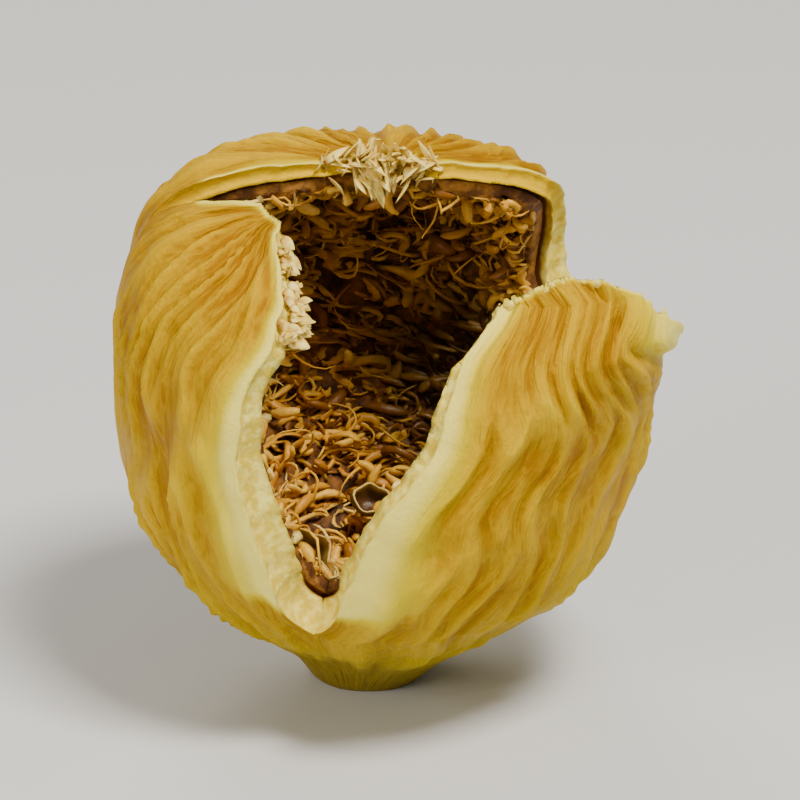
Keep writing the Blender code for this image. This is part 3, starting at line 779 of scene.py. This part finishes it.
for kind in KINDS:
    paths = floret_paths(kind.number, kind.lengths, kind.curl, kind.rings)
    count, rings = paths.shape[:2]
    widths = np.interp(np.linspace(0, 1, rings), np.linspace(0, 1, len(kind.profile)), kind.profile)
    widths = widths * (dice.uniform(*kind.halves, count) * MM)[:, None]
    points, faces = strands(paths, widths, dice.normal(size=(count, 3)), kind.flatness, kind.sides)
    middles = paths[:, rings // 2]
    at_front = smooth(*LIGHTENS, middles[:, 0] + 0.8 * middles[:, 1])
    tone = np.clip(kind.pale + TONE_VARIES * dice.random(count) + PAINTED_LIGHT_AT_FRONT * at_front, 0, 1)
    grown = np.concatenate((np.repeat(np.linspace(0, 1, rings), kind.sides), (0.0, 1.0)))
    per_point = points.shape[1]
    points = points.reshape(-1, 3)
    deep = np.linalg.norm((points - DEEP_PLACE) / DEEP_SPREAD, axis=-1)
    piece = mesh_piece(kind.name, kept_to_size(points), faces, thread_finish, {
        "grown": np.tile(grown, count),
        "tone": np.repeat(tone, per_point),
        "shade": DARKEST * smooth(*DARKENS, deep),
    })
    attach(piece, "root")

CUP_WALL = 0.14 * MM
CUP_TURNS, CUP_STEPS = 28, 9
CUP_OPENS_FROM, CUP_OPENS_TO = 0.04, 1.0
CUP_REACH = 105.0
CUP_OVAL, CUP_WAVY = 0.12, 0.08
CUP_CRUMPLE, CUP_CRUMPLE_SIZE = 0.12 * MM, 0.9 * MM
CUP_TONE = 0.95

turn = np.linspace(0, 2 * np.pi, CUP_TURNS, endpoint=False)
uneven = 1 + CUP_OVAL * np.sin(2 * turn + 1.0) + CUP_WAVY * np.sin(5 * turn)
steps = np.linspace(CUP_OPENS_FROM, CUP_OPENS_TO, CUP_STEPS)
cup_points, cup_faces, start = [], [], 0
for middle, faces_to, radius in CUPS:
    axis = unit(np.array(faces_to))
    side = unit(np.cross(axis, (0.0, 0.0, 1.0)))
    over = np.cross(side, axis)
    ring = np.outer(np.cos(turn) * uneven, side) + np.outer(np.sin(turn) * uneven, over)
    for share, size in [(s, radius) for s in steps] + [(s, radius - CUP_WALL) for s in steps[::-1]]:
        tilt = share * math.radians(CUP_REACH)
        cup_points.append(middle + size * (math.sin(tilt) * ring - math.cos(tilt) * axis))
    last = start + (2 * CUP_STEPS - 1) * CUP_TURNS
    cup_faces.extend((tube_cells(2 * CUP_STEPS, CUP_TURNS) + start).tolist())
    cup_faces.append([start + k for k in range(CUP_TURNS)][::-1])
    cup_faces.append([last + k for k in range(CUP_TURNS)])
    start = last + CUP_TURNS
cup_points = np.concatenate(cup_points)
crumple = np.stack([waver(cup_points, CUP_CRUMPLE_SIZE, seed) for seed in (40, 41, 42)], axis=-1)
cup_points = cup_points + CUP_CRUMPLE * crumple

# A cup is dark outside, and inside it is painted dark at its bottom and lighter towards the rim, as painted
# shade in its hollow
cup_painted_light = np.concatenate((np.full(CUP_STEPS, 0.5), np.linspace(1.0, 0.0, CUP_STEPS)))
cup_grown = np.tile(np.repeat(cup_painted_light, CUP_TURNS), len(CUPS)) ** 3 * 0.6 - 0.1
cups = mesh_piece("floret_cups", cup_points, cup_faces, thread_finish, {
    "grown": cup_grown,
    "tone": np.full(len(cup_points), CUP_TONE),
    "shade": np.zeros(len(cup_points)),
})
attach(cups, "root")


# The eye's scales: small pale bracts that closed the fruit's mouth. When the skin tore they stayed on in two
# tufts, one along the back lobe's lip and one along the left lobe's torn edge.

SCALE_SEED = 12
SCALE_RINGS, SCALE_SIDES = 7, 8
SCALE_PROFILE = np.array((0.55, 0.85, 1.0, 0.95, 0.75, 0.45, 0.08))
SCALE_FLATNESS = 0.28
SCALE_WANDER, SCALE_ROLL = 0.18, 0.25
SCALE_CURVES = (-0.35, 0.25)
SCALE_CREAM, SCALE_PALE, SCALE_FOOT = (0.80, 0.58, 0.10), (0.97, 0.86, 0.32), (0.40, 0.17, 0.02)

scales_finish, surface, paint = finish_of("eye_scales", 0.6)
cream = paint.clouds(0.5 * MM, 3.0).between(0.35, 0.7).tint(SCALE_CREAM, SCALE_PALE)
cream = paint.attribute("grown").between(-0.1, 0.35).tint(SCALE_FOOT, cream)
paint.feed(surface.inputs["Base Color"], cream)

dice = np.random.default_rng(SCALE_SEED)


def scale_tuft(name, replaced, lobe, across, along, inwards, off_edge, below, fans, lengths, halves):
    """Curved leaf-like scales along a stretch of a lobe's edge, which fan out round it.

    Off the edge and below the skin in mm, fans in degrees, lengths and half widths in mm are ranges.
    """
    count = len(across)
    ends = skin_point(lobe, across, along)
    outs = unit(ends - skin_point(lobe, across - inwards[0], along - inwards[1]))
    ups = skin_normal(lobe, np.minimum(across, 0.99), np.minimum(along, 0.99))
    ends = ends + outs * (dice.uniform(*off_edge, count) * MM)[:, None]
    ends = ends - ups * (dice.uniform(*below, count) * MM)[:, None]
    angle = np.radians(dice.uniform(*fans, count))[:, None]
    forward = unit(outs * np.cos(angle) + ups * np.sin(angle) + SCALE_WANDER * dice.normal(size=(count, 3)))
    upright = unit(ups * np.cos(angle) - outs * np.sin(angle) + SCALE_ROLL * dice.normal(size=(count, 3)))
    lengths = dice.uniform(*lengths, count) * MM
    step = np.linspace(0, 1, SCALE_RINGS)[None, :, None]
    curve = upright[:, None, :] * (step**2) * (lengths * dice.uniform(*SCALE_CURVES, count))[:, None, None]
    paths = ends[:, None, :] + forward[:, None, :] * step * lengths[:, None, None] + curve
    widths = SCALE_PROFILE * (dice.uniform(*halves, count) * MM)[:, None]
    points, faces = strands(paths, widths, upright, SCALE_FLATNESS, SCALE_SIDES)
    grown = np.concatenate((np.repeat(np.linspace(0, 1, SCALE_RINGS), SCALE_SIDES), (0.0, 1.0)))
    points = stand_up(points.reshape(-1, 3))
    tuft = mesh_piece(name, points, faces, scales_finish, {"grown": np.tile(grown, count)})
    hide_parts(replaced)
    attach(tuft, "root")


BACK_SCALES, LEFT_SCALES = 150, 130
scale_tuft(
    "back_scales", "eye_scales_back", BACK_LOBE,
    across=np.clip(0.5 + 0.26 * dice.normal(size=BACK_SCALES), 0.02, 0.98), along=np.ones(BACK_SCALES),
    inwards=(0.0, 0.03), off_edge=(-0.9, 0.7), below=(-0.5, 1.0), fans=(-80, 75),
    lengths=(0.7, 1.9), halves=(0.14, 0.34),
)
scale_tuft(
    "left_scales", "eye_scales_left", LEFT_LOBE,
    across=np.ones(LEFT_SCALES), along=dice.uniform(0.80, 0.99, LEFT_SCALES),
    inwards=(0.03, 0.0), off_edge=(-0.4, 0.7), below=(0.0, 1.6), fans=(-110, 60),
    lengths=(0.5, 1.2), halves=(0.16, 0.36),
)


# The floor and the light: a pale plain surface, a soft key lamp above and in front, a wide fill lamp from the
# left and a weaker one from behind, all warm, as in a room with plain walls.

FLOOR_HALF = 1.5
FLOOR_COLOUR = (0.68, 0.74, 0.88, 1.0)
LAMP_COLOUR = (1.0, 0.88, 0.68)
ROOM_COLOUR, ROOM_STRENGTH = (1.0, 0.90, 0.74, 1.0), 0.22
TARGET = Vector((0.002, -0.002, 0.018))

floor_finish, surface, paint = finish_of("pale_floor", 0.8)
surface.inputs["Base Color"].default_value = FLOOR_COLOUR
corners = np.array([(-1, -1, 0), (1, -1, 0), (1, 1, 0), (-1, 1, 0)]) * FLOOR_HALF
floor = mesh_piece("floor", corners, [[0, 1, 2, 3]], floor_finish)

for title, place, strength, size in (
    ("key_lamp", (0.13, -0.17, 0.40), 2.8, 0.12),
    ("fill_lamp", (-0.36, -0.36, 0.24), 1.45, 0.2),
    ("back_lamp", (-0.12, 0.34, 0.36), 0.9, 0.2),
):
    lamp = bpy.data.lights.new(title, "AREA")
    lamp.color = LAMP_COLOUR
    lamp.energy = strength
    lamp.size = size
    hung = bpy.data.objects.new(title, lamp)
    bpy.context.scene.collection.objects.link(hung)
    hung.location = place
    hung.rotation_euler = (Vector(place) - TARGET).to_track_quat("Z", "Y").to_euler()

world = bpy.data.worlds.new("pale_room")
bpy.context.scene.world = world
world.use_nodes = True
world.node_tree.nodes["Background"].inputs["Color"].default_value = ROOM_COLOUR
world.node_tree.nodes["Background"].inputs["Strength"].default_value = ROOM_STRENGTH


# The camera: a long lens from the front and above, at the photograph's angle to the fruit. It looks a little
# to the right of the body's centre and below it, so that the fruit sits in the picture as it does there.

ELEVATION = math.radians(22.0)
DISTANCE = 0.385
FOCAL_LENGTH = 300.0
AIM_RIGHT, AIM_DOWN = 1.1 * MM, 0.33 * MM

body_centre = Vector(stand_up(np.zeros(3)))
forward = Vector((0.0, math.cos(ELEVATION), -math.sin(ELEVATION)))
right = Vector((1.0, 0.0, 0.0))
looked_at = body_centre + right * AIM_RIGHT - right.cross(forward) * AIM_DOWN
lens = bpy.data.cameras.new("camera")
lens.lens = FOCAL_LENGTH
lens.clip_start = 0.01
camera = bpy.data.objects.new("camera", lens)
bpy.context.scene.collection.objects.link(camera)
camera.location = looked_at - forward * DISTANCE
camera.rotation_euler = (math.pi / 2 - ELEVATION, 0.0, 0.0)
bpy.context.scene.camera = camera
